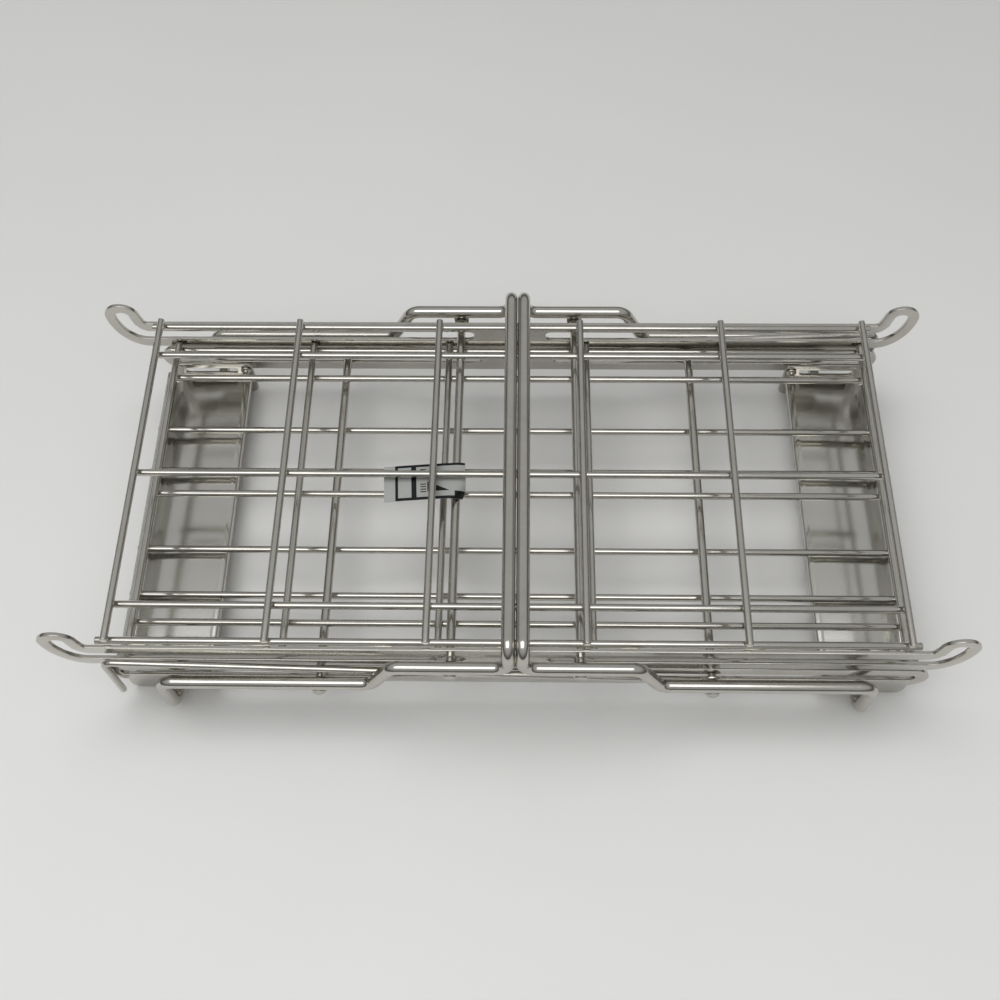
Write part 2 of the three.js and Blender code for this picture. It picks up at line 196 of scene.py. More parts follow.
# ---- meshes -----------------------------------------------------------------------------------------
def slab(outline, holes, low, high, edge, to_point, steps=3):
    """A flat piece with rounded edges. to_point turns (u, v, depth) into a point of the frame."""
    loops = [turned(outline, True)] + [turned(h, False) for h in holes]
    quarter = [math.radians(90 * k / steps) for k in range(steps + 1)]
    rings = [(edge * (1 - math.sin(a)), low + edge * (1 - math.cos(a))) for a in quarter]
    rings += [(inset, low + high - depth) for inset, depth in reversed(rings)]
    verts, faces, first = [], [], 0
    caps = [[], []]
    for loop in loops:
        count = len(loop)
        normals = []
        for k, here in enumerate(loop):
            a, b = (here - loop[k - 1]).normalized(), (loop[(k + 1) % count] - here).normalized()
            left = Vector((-a.y - b.y, a.x + b.x))
            normals.append(left / max(1 + a.dot(b), 0.5))
        for inset, depth in rings:
            verts += [to_point(p.x + n.x * inset, p.y + n.y * inset, depth) for p, n in zip(loop, normals)]
        for r in range(len(rings) - 1):
            for k in range(count):
                a, b = first + r * count + k, first + r * count + (k + 1) % count
                faces.append((a, b, b + count, a + count))
        for cap, r in zip(caps, (0, len(rings) - 1)):
            inset = rings[r][0]
            cap.append([(first + r * count + k, Vector((p.x + n.x * inset, p.y + n.y * inset, 0)))
                        for k, (p, n) in enumerate(zip(loop, normals))])
        first += count * len(rings)
    for cap in caps:
        index = [i for loop in cap for i, _ in loop]
        for t in tessellate_polygon([[p for _, p in loop] for loop in cap]):
            faces.append(tuple(index[i] for i in t))
    return verts, faces


def upright(side, face):
    """to_point of a slab that stands along X, with its inner face at |y| = face."""
    return lambda u, v, w: Vector((u, side * (face + w), v))


def bent(corners, radius, steps=14):
    """A polyline with each inner corner bent to the given radius."""
    out = [corners[0]]
    for before, here, after in zip(corners, corners[1:], corners[2:]):
        a, b = (before - here).normalized(), (after - here).normalized()
        half = a.angle(b) / 2
        middle = here + (a + b).normalized() * radius / math.sin(half)
        start = here + a * radius / math.tan(half) - middle
        end = here + b * radius / math.tan(half) - middle
        turn = start.angle(end)
        for s in (k / steps for k in range(steps + 1)):
            out.append(middle + start * (math.sin((1 - s) * turn) / math.sin(turn))
                       + end * (math.sin(s * turn) / math.sin(turn)))
    return out + [corners[-1]]


def sweep(points, radius, sides=24, edge=0.4, closed=False):
    """A round bar along the points, with rounded ends unless it closes on itself."""
    count = len(points)
    tangents = []
    for k, here in enumerate(points):
        before = points[k - 1] if closed or k else here
        after = points[(k + 1) % count] if closed or k < count - 1 else here
        tangents.append((after - before).normalized())
    up = tangents[0].orthogonal().normalized()
    rings = []
    for k, (p, t) in enumerate(zip(points, tangents)):
        if k:
            up = (tangents[k - 1].rotation_difference(t) @ up).normalized()
        size = radius(k / (count - 1)) if callable(radius) else radius
        rings.append((p, t, up, size))
    if not closed:
        rings = end_rings(rings[0], 1, edge) + rings[1:-1] + end_rings(rings[-1], -1, edge)[::-1]
    verts, faces = [], []
    for p, t, u, size in rings:
        side = t.cross(u)
        for k in range(sides):
            a = 2 * math.pi * k / sides
            verts.append(p + (u * math.cos(a) + side * math.sin(a)) * size)
    for r in range(len(rings) if closed else len(rings) - 1):
        for k in range(sides):
            a, b = r * sides + k, r * sides + (k + 1) % sides
            n = (r + 1) % len(rings) * sides
            faces.append((a, b, n + (k + 1) % sides, n + k))
    if not closed:
        faces.append(tuple(range(sides)))
        faces.append(tuple(len(verts) - sides + k for k in range(sides)))
    return verts, faces


def end_rings(ring, way, edge, steps=4):
    """The rings that round a bar's end, from the end face inwards."""
    p, t, up, size = ring
    out = []
    for a in (math.radians(90 * k / steps) for k in range(steps + 1)):
        out.append((p + t * way * edge * (1 - math.cos(a)), t, up, size - edge * (1 - math.sin(a))))
    return out


def lathe(profile, middle, axis, sides=32):
    """Turns a profile of (radius, height) about the axis through middle."""
    up = axis.orthogonal().normalized()
    side = axis.cross(up)
    verts, faces = [], []
    for radius, height in profile:
        for k in range(sides):
            a = 2 * math.pi * k / sides
            verts.append(middle + axis * height + (up * math.cos(a) + side * math.sin(a)) * radius)
    for r in range(len(profile) - 1):
        for k in range(sides):
            a, b = r * sides + k, r * sides + (k + 1) % sides
            faces.append((a, b, b + sides, a + sides))
    faces.append(tuple(range(sides)))
    faces.append(tuple(len(verts) - sides + k for k in range(sides)))
    return verts, faces


def blob(middle, size, seed, rings=8, sides=12):
    """A weld nugget: a flattened drop with an uneven skin."""
    verts, faces = [], []
    for r in range(rings + 1):
        polar = math.pi * (r + 0.02) / (rings + 0.04)
        for k in range(sides):
            a = 2 * math.pi * k / sides
            d = Vector((math.sin(polar) * math.cos(a), math.sin(polar) * math.sin(a), math.cos(polar)))
            swell = 1 + 0.16 * noise.noise(d * 1.7 + Vector((seed, seed * 0.7, 0)))
            verts.append(middle + Vector((d.x * size.x, d.y * size.y, d.z * size.z)) * swell)
    for r in range(rings):
        for k in range(sides):
            a, b = r * sides + k, r * sides + (k + 1) % sides
            faces.append((a, b, b + sides, a + sides))
    faces.append(tuple(range(sides)))
    faces.append(tuple(rings * sides + k for k in range(sides)))
    return verts, faces


def bead(points, radius, seed):
    """A weld bead along the points, swelling and shrinking as it goes."""
    def size(s):
        swell = 1 + 0.22 * noise.noise(Vector((seed, s * 6, 0)))
        return radius * swell * (0.55 + 0.45 * math.sin(math.pi * s))
    return sweep(points, size, sides=12, edge=0.2 * radius)


def joined(parts):
    """Several shapes as one."""
    verts, faces = [], []
    for v, f in parts:
        faces += [tuple(i + len(verts) for i in face) for face in f]
        verts += v
    return verts, faces


def place(name, shape, material, body, nodes=(), sharp=38.0):
    """Makes a piece of a shape in millimetres. It rides on body and stands for the CAD nodes."""
    verts, faces = shape
    mesh = bpy.data.meshes.new(name)
    mesh.from_pydata([tuple(v * MM) for v in verts], [], faces)
    work = bmesh.new()
    work.from_mesh(mesh)
    bmesh.ops.recalc_face_normals(work, faces=work.faces)
    work.to_mesh(mesh)
    work.free()
    mesh.shade_smooth()
    mesh.set_sharp_from_angle(angle=math.radians(sharp))
    mesh.materials.append(material)
    piece = bpy.data.objects.new(name, mesh)
    bpy.context.scene.collection.objects.link(piece)
    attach(piece, body)
    if nodes:
        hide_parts(*nodes)
    return piece


# ---- materials --------------------------------------------------------------------------------------
class Nodes:
    """Short calls for building a material's node tree."""

    def __init__(self, name):
        self.material = bpy.data.materials.new(name)
        self.material.use_nodes = True
        self.tree = self.material.node_tree
        self.tree.nodes.clear()
        self.shader = self.add("ShaderNodeBsdfPrincipled")
        output = self.add("ShaderNodeOutputMaterial")
        self.link(self.shader.outputs["BSDF"], output.inputs["Surface"])

    def add(self, kind, **settings):
        node = self.tree.nodes.new(kind)
        for key, value in settings.items():
            setattr(node, key, value)
        return node

    def link(self, output, socket):
        self.tree.links.new(output, socket)

    def coordinates(self, scale):
        source = self.add("ShaderNodeTexCoord")
        mapping = self.add("ShaderNodeMapping")
        mapping.inputs["Scale"].default_value = scale
        self.link(source.outputs["Object"], mapping.inputs["Vector"])
        return mapping.outputs["Vector"]

    def noise(self, scale, detail=3.0, roughness=0.55):
        node = self.add("ShaderNodeTexNoise")
        node.inputs["Scale"].default_value = 1.0
        node.inputs["Detail"].default_value = detail
        node.inputs["Roughness"].default_value = roughness
        self.link(self.coordinates(scale), node.inputs["Vector"])
        return node.outputs["Fac"]

    def ranged(self, value, low, high, start=0.3, end=0.7):
        """Maps start..end to low..high."""
        node = self.add("ShaderNodeMapRange")
        for socket, number in zip(("From Min", "From Max", "To Min", "To Max"), (start, end, low, high)):
            node.inputs[socket].default_value = number
        self.link(value, node.inputs["Value"])
        return node.outputs["Result"]

    def math(self, operation, a, b):
        node = self.add("ShaderNodeMath", operation=operation)
        for socket, value in zip(node.inputs, (a, b)):
            if isinstance(value, (int, float)):
                socket.default_value = value
            else:
                self.link(value, socket)
        return node.outputs["Value"]

    def mix(self, factor, a, b):
        """Colour a at factor 0 and b at factor 1."""
        node = self.add("ShaderNodeMix", data_type="RGBA")
        self.link(factor, node.inputs["Factor"])
        for socket, colour in ((node.inputs[6], a), (node.inputs[7], b)):
            if isinstance(colour, tuple):
                socket.default_value = (*colour, 1.0)
            else:
                self.link(colour, socket)
        return node.outputs[2]

    def bump(self, height, distance, strength, before=None):
        node = self.add("ShaderNodeBump")
        node.inputs["Distance"].default_value = distance
        node.inputs["Strength"].default_value = strength
        self.link(height, node.inputs["Height"])
        if before:
            self.link(before, node.inputs["Normal"])
        return node.outputs["Normal"]


def steel(name, bright, dull, rough, grain, grain_depth, wave_depth, rough_spread=0.05):
    """Stainless steel. grain is the drawing or rolling direction, X, Y or N for none.

    The depths are strengths of the bumps, and rough_spread is how far stains change the roughness.
    """
    make = Nodes(name)
    along, across = 14.0, 1500.0
    scale = {"X": (along, across, across), "Y": (across, along, across), "N": (900.0, 900.0, 900.0)}[grain]
    streaks = make.noise(scale, detail=4.0)
    clouds = make.noise((55.0, 55.0, 55.0), detail=5.0, roughness=0.6)
    slow = (38.0, 38.0, 160.0) if grain == "N" else tuple(min(s, 110.0) for s in scale)
    waves = make.noise(slow, detail=1.0)
    colour = make.mix(make.ranged(clouds, 0.0, 1.0), bright, dull)
    make.link(make.mix(make.ranged(streaks, 0.0, 0.35), colour, dull), make.shader.inputs["Base Color"])
    spread = make.math("ADD", make.ranged(clouds, -rough_spread, rough_spread),
                       make.ranged(streaks, -rough_spread / 2, rough_spread / 2))
    make.link(make.math("ADD", spread, rough), make.shader.inputs["Roughness"])
    fine = make.bump(streaks, 0.0001, grain_depth)
    make.link(make.bump(waves, 0.001, wave_depth, before=fine), make.shader.inputs["Normal"])
    make.shader.inputs["Metallic"].default_value = 1.0
    return make.material


BRIGHT = (0.60, 0.585, 0.54)
DULL = (0.51, 0.49, 0.445)
MATERIALS = {
    "wire_x": steel("steel_wire_along", BRIGHT, DULL, 0.15, "X", 0.01, 0.012, 0.03),
    "wire_y": steel("steel_wire_across", BRIGHT, DULL, 0.22, "Y", 0.03, 0.012, 0.04),
    "rod": steel("steel_rod", BRIGHT, DULL, 0.17, "N", 0.015, 0.035, 0.03),
    "plate": steel("steel_strip", BRIGHT, DULL, 0.16, "X", 0.015, 0.01, 0.02),
    "sheet": steel("steel_sheet", (0.64, 0.63, 0.59), (0.59, 0.58, 0.54), 0.20, "Y", 0.01, 0.01, 0.015),
    "fastener": steel("steel_turned", (0.58, 0.56, 0.50), (0.45, 0.43, 0.38), 0.22, "N", 0.10, 0.08),
    "weld": steel("steel_weld", (0.54, 0.51, 0.45), (0.36, 0.33, 0.28), 0.30, "N", 0.35, 0.20, 0.09),
}


def printed(make, u, v, u0, u1, v0, v1):
    """1 inside a box of the label's own coordinates, else 0."""
    inside = make.math("MULTIPLY", make.math("GREATER_THAN", u, u0), make.math("LESS_THAN", u, u1))
    rows = make.math("MULTIPLY", make.math("GREATER_THAN", v, v0), make.math("LESS_THAN", v, v1))
    return make.math("MULTIPLY", inside, rows)


def label_material():
    """Coated pale paper with a black frame, bars and two plain wedges."""
    make = Nodes("label_paper")
    uv = make.add("ShaderNodeUVMap", uv_map="print")
    split = make.add("ShaderNodeSeparateXYZ")
    make.link(uv.outputs["UV"], split.inputs["Vector"])
    u, v = split.outputs["X"], split.outputs["Y"]
    # the frame's left side and its post, then its front and back sides
    boxes = [(0.137, 0.172, 0.0, 1.0), (0.335, 0.397, 0.0, 1.0)]
    boxes += [(0.137, 1.0, 0.0, 0.075), (0.137, 1.0, 0.93, 1.0)]
    # short bars, and the dark curled corner
    boxes += [(0.445, 0.515, row, row + 0.03) for row in (0.20, 0.27, 0.34, 0.41, 0.62, 0.69, 0.76, 0.83)]
    boxes += [(0.86, 1.0, 0.0, 0.20)]
    ink = None
    for box in boxes:
        mark = printed(make, u, v, *box)
        ink = mark if ink is None else make.math("MAXIMUM", ink, mark)
    for u0, u1, v0, v1 in ((0.53, 0.66, 0.64, 0.82), (0.53, 0.80, 0.22, 0.50)):
        slope = (v1 - v0) / (u1 - u0)
        falling = make.math("ADD", make.math("MULTIPLY", u, -slope), v1 + slope * u0)
        box = printed(make, u, v, u0, u1, v0, v1)
        wedge = make.math("MULTIPLY", box, make.math("LESS_THAN", v, falling))
        ink = make.math("MAXIMUM", ink, wedge)
    fibres = make.noise((1200.0, 1200.0, 1200.0), detail=5.0)
    paper = make.mix(make.ranged(fibres, 0.0, 1.0), (0.385, 0.394, 0.375), (0.36, 0.37, 0.352))
    make.link(make.mix(ink, paper, (0.004, 0.004, 0.006)), make.shader.inputs["Base Color"])
    make.link(make.ranged(fibres, 0.30, 0.38), make.shader.inputs["Roughness"])
    creases = make.noise((140.0, 60.0, 60.0), detail=2.0)
    make.link(make.bump(creases, 0.001, 0.25), make.shader.inputs["Normal"])
    make.shader.inputs["Specular IOR Level"].default_value = 0.25
    make.shader.inputs["Coat Weight"].default_value = 0.15
    make.shader.inputs["Coat Roughness"].default_value = 0.05
    return make.material


# ---- wires and their welds --------------------------------------------------------------------------
def wire(node):
    """A straight round wire that fills its CAD node's box."""
    low, high = (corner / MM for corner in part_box(node))
    size, middle = high - low, (high + low) / 2
    axis = 0 if size.x > size.y else 1
    start, end = middle.copy(), middle.copy()
    start[axis], end[axis] = low[axis], high[axis]
    kind = "wire_x" if axis == 0 else "wire_y"
    shape = sweep([start, end], size.z / 2, sides=28, edge=WIRE_EDGE)
    place(f"{node}_steel", shape, MATERIALS[kind], BODY_OF[node], [node])


def grid_welds(tier):
    """A nugget at each crossing of a tier's grid, and beads between its rails and side plates."""
    parts = []
    names = ("rail_front", "long_wire_front", "long_wire_middle", "long_wire_back", "rail_back")
    longs = [f"{tier}_{name}" for name in names]
    nugget = Vector((1.7, 1.7, 0.85))
    beads, pitch = 7, 60
    for i in range(1, 7):
        cross = centre(f"{tier}_cross_wire_{i}")
        for j, node in enumerate(longs):
            at = centre(node)
            middle = Vector((cross.x, at.y, (cross.z + at.z) / 2))
            parts.append(blob(middle, nugget, i * 7.3 + j * 3.1))
    for side, word in ((-1, "front"), (1, "back")):
        rail, plate = centre(f"{tier}_rail_{word}"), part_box(f"{tier}_side_plate_{word}")
        face = min(abs(plate[0].y), abs(plate[1].y)) / MM
        for k in range(beads):
            x = rail.x + pitch * (k - (beads - 1) // 2)
            # between the rail's flank and the plate's inner face, just under the plate's upper edge
            points = [Vector((x + 1.6 * s, side * (face - 0.35), rail.z - 0.9)) for s in range(-3, 4)]
            parts.append(bead(points, 0.75, k * 2.7 + rail.z))
    body = BODY_OF[f"{tier}_rail_front"]
    place(f"{tier}_tier_welds", joined(parts), MATERIALS["weld"], body, sharp=60)


def tiers():
    for node in sorted(frame["nodes"]):
        if "_wire" in node or "_rail_" in node:
            wire(node)
    for tier, outline in (("top", top_plate()), ("mid", mid_plate())):
        grid_welds(tier)
        for side, word in ((-1, "front"), (1, "back")):
            node = f"{tier}_side_plate_{word}"
            low, high = (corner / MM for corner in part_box(node))
            face = min(abs(low.y), abs(high.y))
            shape = slab(*outline, 0.0, high.y - low.y, PLATE_EDGE, upright(side, face))
            place(f"{node}_steel", shape, MATERIALS["plate"], BODY_OF[node], [node])


# ---- end brackets -----------------------------------------------------------------------------------
def tray_profile(side):
    """Rows of (x, z, normal x, normal z, half width) along the folded sheet, lip to flange."""
    bend, steps = 1.3, 8
    corner = 4.0              # the flange's round upper corners
    tray_half = EAR_IN + 0.4
    lip_half = EAR_IN - 4
    mid_z = SHEET_Z + SHEET_T / 2
    lip_x, flange_x = TRAY_IN + SHEET_T / 2, TRAY_OUT - SHEET_T / 2
    rows = []
    for z in (SHEET_Z - LIP_H, SHEET_Z - LIP_H + 0.5, mid_z - bend):
        rows.append((lip_x, z, -1.0, 0.0, lip_half - (0.6 if z < SHEET_Z - LIP_H + 0.4 else 0)))
    for k in range(1, steps + 1):
        a = math.radians(180 - 90 * k / steps)
        rows.append((lip_x + bend + bend * math.cos(a), mid_z - bend + bend * math.sin(a),
                     math.cos(a), math.sin(a), lip_half))
    # the tray is wider than the lip and the flange, so that it meets the ears
    rows.append((lip_x + 3.2, mid_z, 0.0, 1.0, lip_half))
    rows.append((lip_x + 3.3, mid_z, 0.0, 1.0, tray_half))
    rows.append((flange_x - 4.4, mid_z, 0.0, 1.0, tray_half))
    rows.append((flange_x - 4.3, mid_z, 0.0, 1.0, FLANGE_HALF))
    for k in range(steps + 1):
        a = math.radians(-90 + 90 * k / steps)
        rows.append((flange_x - bend + bend * math.cos(a), mid_z + bend + bend * math.sin(a),
                     -math.cos(a), -math.sin(a), FLANGE_HALF))
    for k in range(steps + 1):
        a = math.radians(90 * k / steps)
        rows.append((flange_x, FLANGE_TOP - corner + corner * math.sin(a), -1.0, 0.0,
                     FLANGE_HALF - corner + corner * math.cos(a)))
    return [(PLAY + side * x, z, side * nx, nz, half) for x, z, nx, nz, half in rows]


def folded_sheet(side):
    """The lip, tray and flange as one bent sheet."""
    verts, faces = [], []
    rows = tray_profile(side)
    for x, z, nx, nz, half in rows:
        for face in (1, -1):
            for y in (-half, half):
                verts.append(Vector((x + face * nx * SHEET_T / 2, y, z + face * nz * SHEET_T / 2)))
    for r in range(len(rows) - 1):
        a, b = 4 * r, 4 * r + 4
        faces += [(a, a + 1, b + 1, b), (a + 2, b + 2, b + 3, a + 3)]
        faces += [(a, b, b + 2, a + 2), (a + 1, a + 3, b + 3, b + 1)]
    last = 4 * (len(rows) - 1)
    faces += [(0, 2, 3, 1), (last, last + 1, last + 3, last + 2)]
    return verts, faces


def ear_outline():
    """An ear's outline, its slot and the bore for the foot bar."""
    x0, x1, round_low = TRAY_IN - 1.5, TRAY_OUT, 5.0
    outline = [Vector((x0, EAR_TOP))] + arc(x0 + round_low, round_low, round_low, round_low, 180, 270, 12)
    outline += arc(x1 - round_low, round_low, round_low, round_low, 270, 360, 12) + [Vector((x1, EAR_TOP))]
    bore = arc(PIVOT_X, PIVOT_Z, ROD_R + BORE_PLAY, ROD_R + BORE_PLAY, 0, 350, 35)
    slot_from, slot_to = 168, 194
    return softened(outline, 2.5, sharpest=40), [stadium(slot_from, slot_to, EAR_SLOT_Z, EAR_SLOT_R), bore]


def cut_holes(piece, side):
    """Cuts the flange's holes for the four bottom wires."""
    parts = []
    for i in range(1, 5):
        at = centre(f"low_wire_{i}")
        start = Vector((PLAY + side * (TRAY_OUT - 4), at.y, at.z))
        parts.append(sweep([start, start + Vector((side * 8, 0, 0))], FLANGE_HOLE_R, sides=40, edge=0.1))
    cutter = place(f"cutter_{side}", joined(parts), MATERIALS["sheet"], "base")
    cut = piece.modifiers.new("holes", "BOOLEAN")
    cut.operation, cut.object, cut.solver = "DIFFERENCE", cutter, "EXACT"
    soft = piece.modifiers.new("edges", "BEVEL")
    soft.width, soft.segments = 0.25 * MM, 2
    soft.limit_method, soft.angle_limit = "ANGLE", math.radians(50)
    graph = bpy.context.evaluated_depsgraph_get()
    mesh = bpy.data.meshes.new_from_object(piece.evaluated_get(graph))
    piece.modifiers.clear()
    piece.data = mesh
    mesh.shade_smooth()
    mesh.set_sharp_from_angle(angle=math.radians(38))
    bpy.data.objects.remove(cutter)


def brackets():
    outline, holes = ear_outline()
    for side, word in ((-1, "left"), (1, "right")):
        node = f"end_bracket_{word}"
        tray = place(f"{node}_tray", folded_sheet(side), MATERIALS["sheet"], "base", [node])
        cut_holes(tray, side)
        loops = [[Vector((PLAY + side * p.x, p.y)) for p in loop] for loop in (outline, *holes)]
        for ear_side, ear_word in ((-1, "front"), (1, "back")):
            shape = slab(loops[0], loops[1:], 0.0, EAR_T, EDGE, upright(ear_side, EAR_IN))
            place(f"{node}_ear_{ear_word}", shape, MATERIALS["plate"], "base", [node])
            rivet(f"rivet_{word}_{ear_word}", ear_side)
        place(f"{node}_welds", joined(bracket_welds(side)), MATERIALS["weld"], "base", sharp=60)


def bracket_welds(side):
    """Beads over and under the tray where it meets the ears, and rings round the bottom wires."""
    parts = []
    for ear_side in (-1, 1):
        for z, seed in ((SHEET_Z - 0.2, 1.1), (SHEET_Z + SHEET_T + 0.2, 5.2)):
            run = [Vector((PLAY + side * (TRAY_IN + 6 + 0.5 * k), ear_side * (EAR_IN - 0.1), z))
                   for k in range(69)]

            def size(s, seed=seed):
                return 0.6 + 0.16 * noise.noise(Vector((s * 40, seed, 0)))
            parts.append(sweep(run, size, sides=10, edge=0.1))
    ring_r, ring_thick = 2.12, 0.45
    for i in range(1, 5):
        at = centre(f"low_wire_{i}")
        middle = Vector((PLAY + side * (TRAY_OUT + 0.1), at.y, at.z))
        parts.append(ring_bead(middle, Vector((1, 0, 0)), ring_r, ring_thick, i * 4.1 + side))
    return parts


def ring_bead(middle, axis, radius, thick, seed, sides=28):
    """An uneven weld ring round a bar."""
    up = axis.orthogonal().normalized()
    side = axis.cross(up)
    points = []
    for k in range(sides):
        a = 2 * math.pi * k / sides
        swell = 1 + 0.12 * noise.noise(Vector((math.cos(a) * 1.5, math.sin(a) * 1.5, seed)))
        points.append(middle + (up * math.cos(a) + side * math.sin(a)) * radius * swell)
    return sweep(points, thick, sides=10, closed=True)


def rivet(node, side):
    """A domed rivet whose head lies on the ear's inner face."""
    low, high = (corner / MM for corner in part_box(node))
    middle = (low + high) / 2
    outer, inner = (high.y, low.y) if side > 0 else (low.y, high.y)
    head = (high.x - low.x) / 2
    length = abs(outer - inner)
    rim, dome = 0.3, 0.975
    profile = [(head * 0.86, 0.0), (head * 0.97, 0.08), (head, rim)]
    for a in (math.radians(12 * k) for k in range(7)):
        profile.append((0.62 * head + 0.38 * head * math.cos(a), rim + dome * math.sin(a)))
    profile += [(RIVET_SHANK_R, 2.0), (RIVET_SHANK_R, length - 0.3), (RIVET_SHANK_R - 0.3, length)]
    axis = Vector((0, math.copysign(1, inner - outer), 0))
    shape = lathe(profile, Vector((middle.x, outer, middle.z)), axis)
    place(f"{node}_steel", shape, MATERIALS["fastener"], BODY_OF[node], [node])


# ---- thick side frames, axles and stays -------------------------------------------------------------
def lug_outline(x, axle_z, arm_z):
    """A round lug that widens upwards into the arm's underside."""
    flare, sink = 0.6, 1.2
    outline = arc(x, axle_z, LUG_R, LUG_R, 180, 360, 24)
    outline += [Vector((x + LUG_R + flare, arm_z - sink)), Vector((x - LUG_R - flare, arm_z - sink))]
    bore = arc(x, axle_z, AXLE_R + BORE_PLAY, AXLE_R + BORE_PLAY, 0, 350, 35)
    return outline, [bore]


def side_frame(side, word):
    """A closed bent rod with two lugs under each arm. side is -1 for the left one."""
    arm = [(PIVOT_X, PIVOT_Z), (PIVOT_X, LOWER_Z), (STEP_OUT, LOWER_Z), (STEP_IN, UPPER_Z),
           (HANDLE_X, UPPER_Z), (HANDLE_X, HANDLE_Z)]
    front = [Vector((PLAY + side * x, -ARM_Y, z)) for x, z in arm]
    back = [Vector((p.x, ARM_Y, p.z)) for p in reversed(front)]
    seam = Vector((PLAY + side * PIVOT_X, 0, PIVOT_Z))
    path = bent([seam, *front, *back, seam], FRAME_BEND)[:-1]
    node = f"side_frame_{word}"
    body = BODY_OF[node]
    place(f"{node}_rod", sweep(path, ROD_R, sides=36, closed=True), MATERIALS["rod"], body, [node])
    lugs, welds = [], []
    weld_r, weld_y, weld_drop = 0.62, 1.15, 2.75
    places = ((TOP_AXLE_X, TOP_SLOT_Z + SLOT_DROP, UPPER_Z), (MID_AXLE_X, MID_SLOT_Z + SLOT_DROP, LOWER_Z))
    for x, axle_z, arm_z in places:
        at = PLAY + side * x
        for arm_side in (-1, 1):
            inner = upright(arm_side, ARM_Y - LUG_T / 2)
            lugs.append(slab(*lug_outline(at, axle_z, arm_z), 0.0, LUG_T, EDGE, inner))
            for w in (-weld_y, weld_y):
                y, z = arm_side * ARM_Y + w, arm_z - weld_drop
                run = [Vector((at + 0.8 * k, y, z)) for k in range(-5, 6)]
                welds.append(bead(run, weld_r, at + w))
    welds.append(ring_bead(seam, Vector((0, 1, 0)), ROD_R - 0.12, 0.3, side * 2.2, sides=40))
    place(f"{node}_lugs", joined(lugs), MATERIALS["fastener"], body, [node])
    place(f"{node}_welds", joined(welds), MATERIALS["weld"], body, sharp=60)


def axle(node):
    """A bar with a split collar inside each lug and a peened head outside it."""
    middle = centre(node)
    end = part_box(node)[1].y / MM
    # radius, and distance past the collar's start: a chamfered ring, a groove and a second ring
    collar = [(AXLE_R, 0.0), (COLLAR_R - 0.25, 0.0), (COLLAR_R, 0.2), (COLLAR_R, 0.75), (COLLAR_R - 0.3, 1.0),
              (AXLE_R + 0.15, 1.15), (COLLAR_R - 0.3, 1.3), (COLLAR_R, 1.55), (COLLAR_R, 2.05),
              (COLLAR_R - 0.25, 2.3), (AXLE_R, 2.3)]
    half = [(AXLE_R, 0.0)] + [(r, COLLAR_AT + h) for r, h in collar]
    half += [(AXLE_R, end - HEAD_T), (COLLAR_R - 0.2, end - HEAD_T), (COLLAR_R, end - HEAD_T + 0.2),
             (COLLAR_R, end - HEAD_DOME)]
    flat = 0.6
    for a in (math.radians(15 * k) for k in range(1, 6)):
        half.append((flat + (COLLAR_R - flat) * math.cos(a), end - HEAD_DOME + HEAD_DOME * math.sin(a)))
    profile = [(r, -h) for r, h in reversed(half)] + half[1:]
    place(f"{node}_steel", lathe(profile, Vector((middle.x, 0, middle.z)), Vector((0, 1, 0)), sides=36),
          MATERIALS["wire_y"], BODY_OF[node], [node])


def stay(node, turn):
    """A bar with a ring eye on the middle axle and a hooked far end.

    turn is 1, or -1 for half a turn about Z.
    """
    pivot = Vector((MID_AXLE_X, -STAY_Y, MID_SLOT_Z + SLOT_DROP))
    top = Vector((-STAY_FAR, -STAY_Y, STAY_TOP_Z))
    toward = (top - pivot).normalized()
    tip = Vector((-STAY_FAR - 0.5, -STAY_Y, HOOK_LOW))
    run = bent([pivot + toward * EYE_REACH, top, tip], HOOK_BEND, steps=18)
    loop = [pivot + Vector((math.cos(a), 0, math.sin(a))) * EYE_RING_R
            for a in (2 * math.pi * k / 48 for k in range(48))]
    parts = [sweep(run, STAY_R, sides=28, edge=0.5), sweep(loop, EYE_WIRE_R, sides=20, closed=True)]
    neck = pivot + toward * (EYE_REACH + 1.4)
    neck_r, neck_thick = 1.5, 0.5
    weld = ring_bead(neck, toward, neck_r, neck_thick, turn * 3.3)

    def turned_about(shape):
        verts, faces = shape
        return [Vector((PLAY + turn * v.x, turn * v.y, v.z)) for v in verts], faces

    body = BODY_OF[node]
    place(f"{node}_rod", turned_about(joined(parts)), MATERIALS["rod"], body, [node])
    place(f"{node}_weld", turned_about(weld), MATERIALS["weld"], body, sharp=60)


